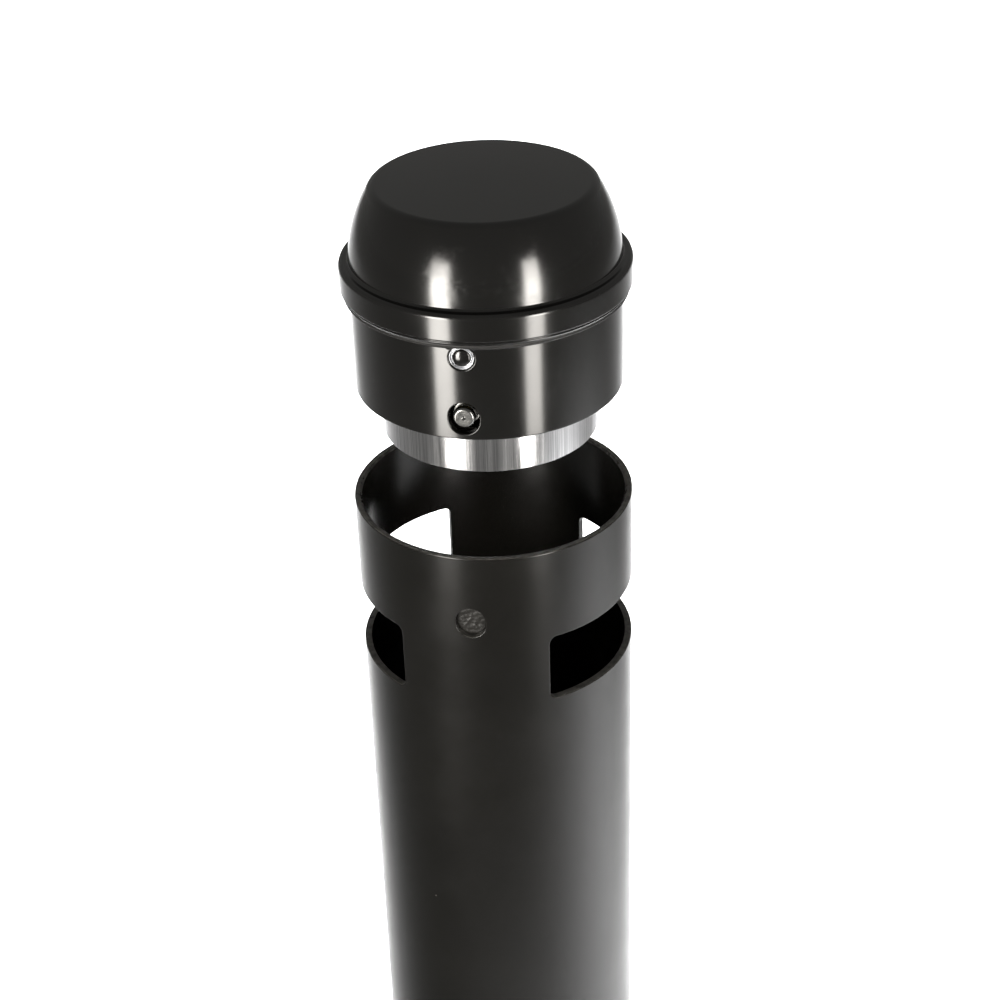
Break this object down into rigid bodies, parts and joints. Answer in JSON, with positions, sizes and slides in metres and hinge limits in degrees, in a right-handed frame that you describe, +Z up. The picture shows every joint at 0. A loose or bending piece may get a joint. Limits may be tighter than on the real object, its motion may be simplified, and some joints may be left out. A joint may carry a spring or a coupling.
{
  "type": "ashtray bin",
  "caption": "Bollard ashtray bin: slim steel post with side stub windows, lift-out domed head with sprung latch pin and aluminium sleeve, and a lift-out canister with bail handle.",
  "frame": {"origin": "centre of the base plate's underside, on the ground", "axes": "+Z up along the post, -Y towards the lock side, the windows face +X and -X"},
  "size_m": [0.2, 0.2, 1.0898],
  "materials": {
    "post_paint": "satin black powder coat",
    "head_paint": "gloss black paint",
    "sleeve_aluminium": "bright extruded",
    "galvanised_steel": "galvanised",
    "plated_steel": "zinc plated",
    "turned_steel": "turned",
    "yellow_zinc": "yellow passivated zinc",
    "seal_rubber": "smooth",
    "blank_rubber": "rough matt"
  },
  "bodies": {
    "post": {"post_tube": "post_paint", "base_plate": "post_paint", "base_weld": "post_paint", "canister_shelf": "post_paint", "lock_hole_cover": "blank_rubber"},
    "head": {"head_casting": "head_paint", "seat_seal": "seal_rubber", "plug_floor": "plated_steel", "stub_sleeve": "sleeve_aluminium", "sleeve_plate": "sleeve_aluminium", "centre_stud": "plated_steel", "plate_washer": "plated_steel", "plate_nut": "plated_steel", "latch_screw": "head_paint", "screw_washer": "plated_steel", "spring_clamp": "plated_steel", "clamp_nut": "plated_steel"},
    "latch": {"latch_spring": "yellow_zinc", "pin_collar": "turned_steel", "latch_pin": "turned_steel"},
    "canister": {"canister_shell": "galvanised_steel", "canister_base": "galvanised_steel", "canister_rim": "galvanised_steel", "bail_ears": "galvanised_steel", "ear_rivets": "plated_steel"},
    "bail": {"bail_handle": "plated_steel"}
  },
  "joints": [
    {"name": "head_lift", "type": "slide", "parent": "post", "child": "head", "axis": [0, 0, 1], "range_m": [-0.09, 0.06]},
    {"name": "latch_swing", "type": "hinge", "parent": "head", "child": "latch", "pos_m": [0, -0.047, 1.0321], "axis": [1, 0, 0], "range_deg": [-10, 3], "stiffness_Nm_per_rad": 0.6, "springref_deg": -11.46, "deforming": ["latch_spring", "lock_hole_cover"]},
    {"name": "canister_lift", "type": "slide", "parent": "post", "child": "canister", "axis": [0, 0, 1], "range_m": [0, 0.03]},
    {"name": "bail_swing", "type": "hinge", "parent": "canister", "child": "bail", "pos_m": [0, 0, 0.8073], "axis": [1, 0, 0], "range_deg": [0, 180]}
  ]
}
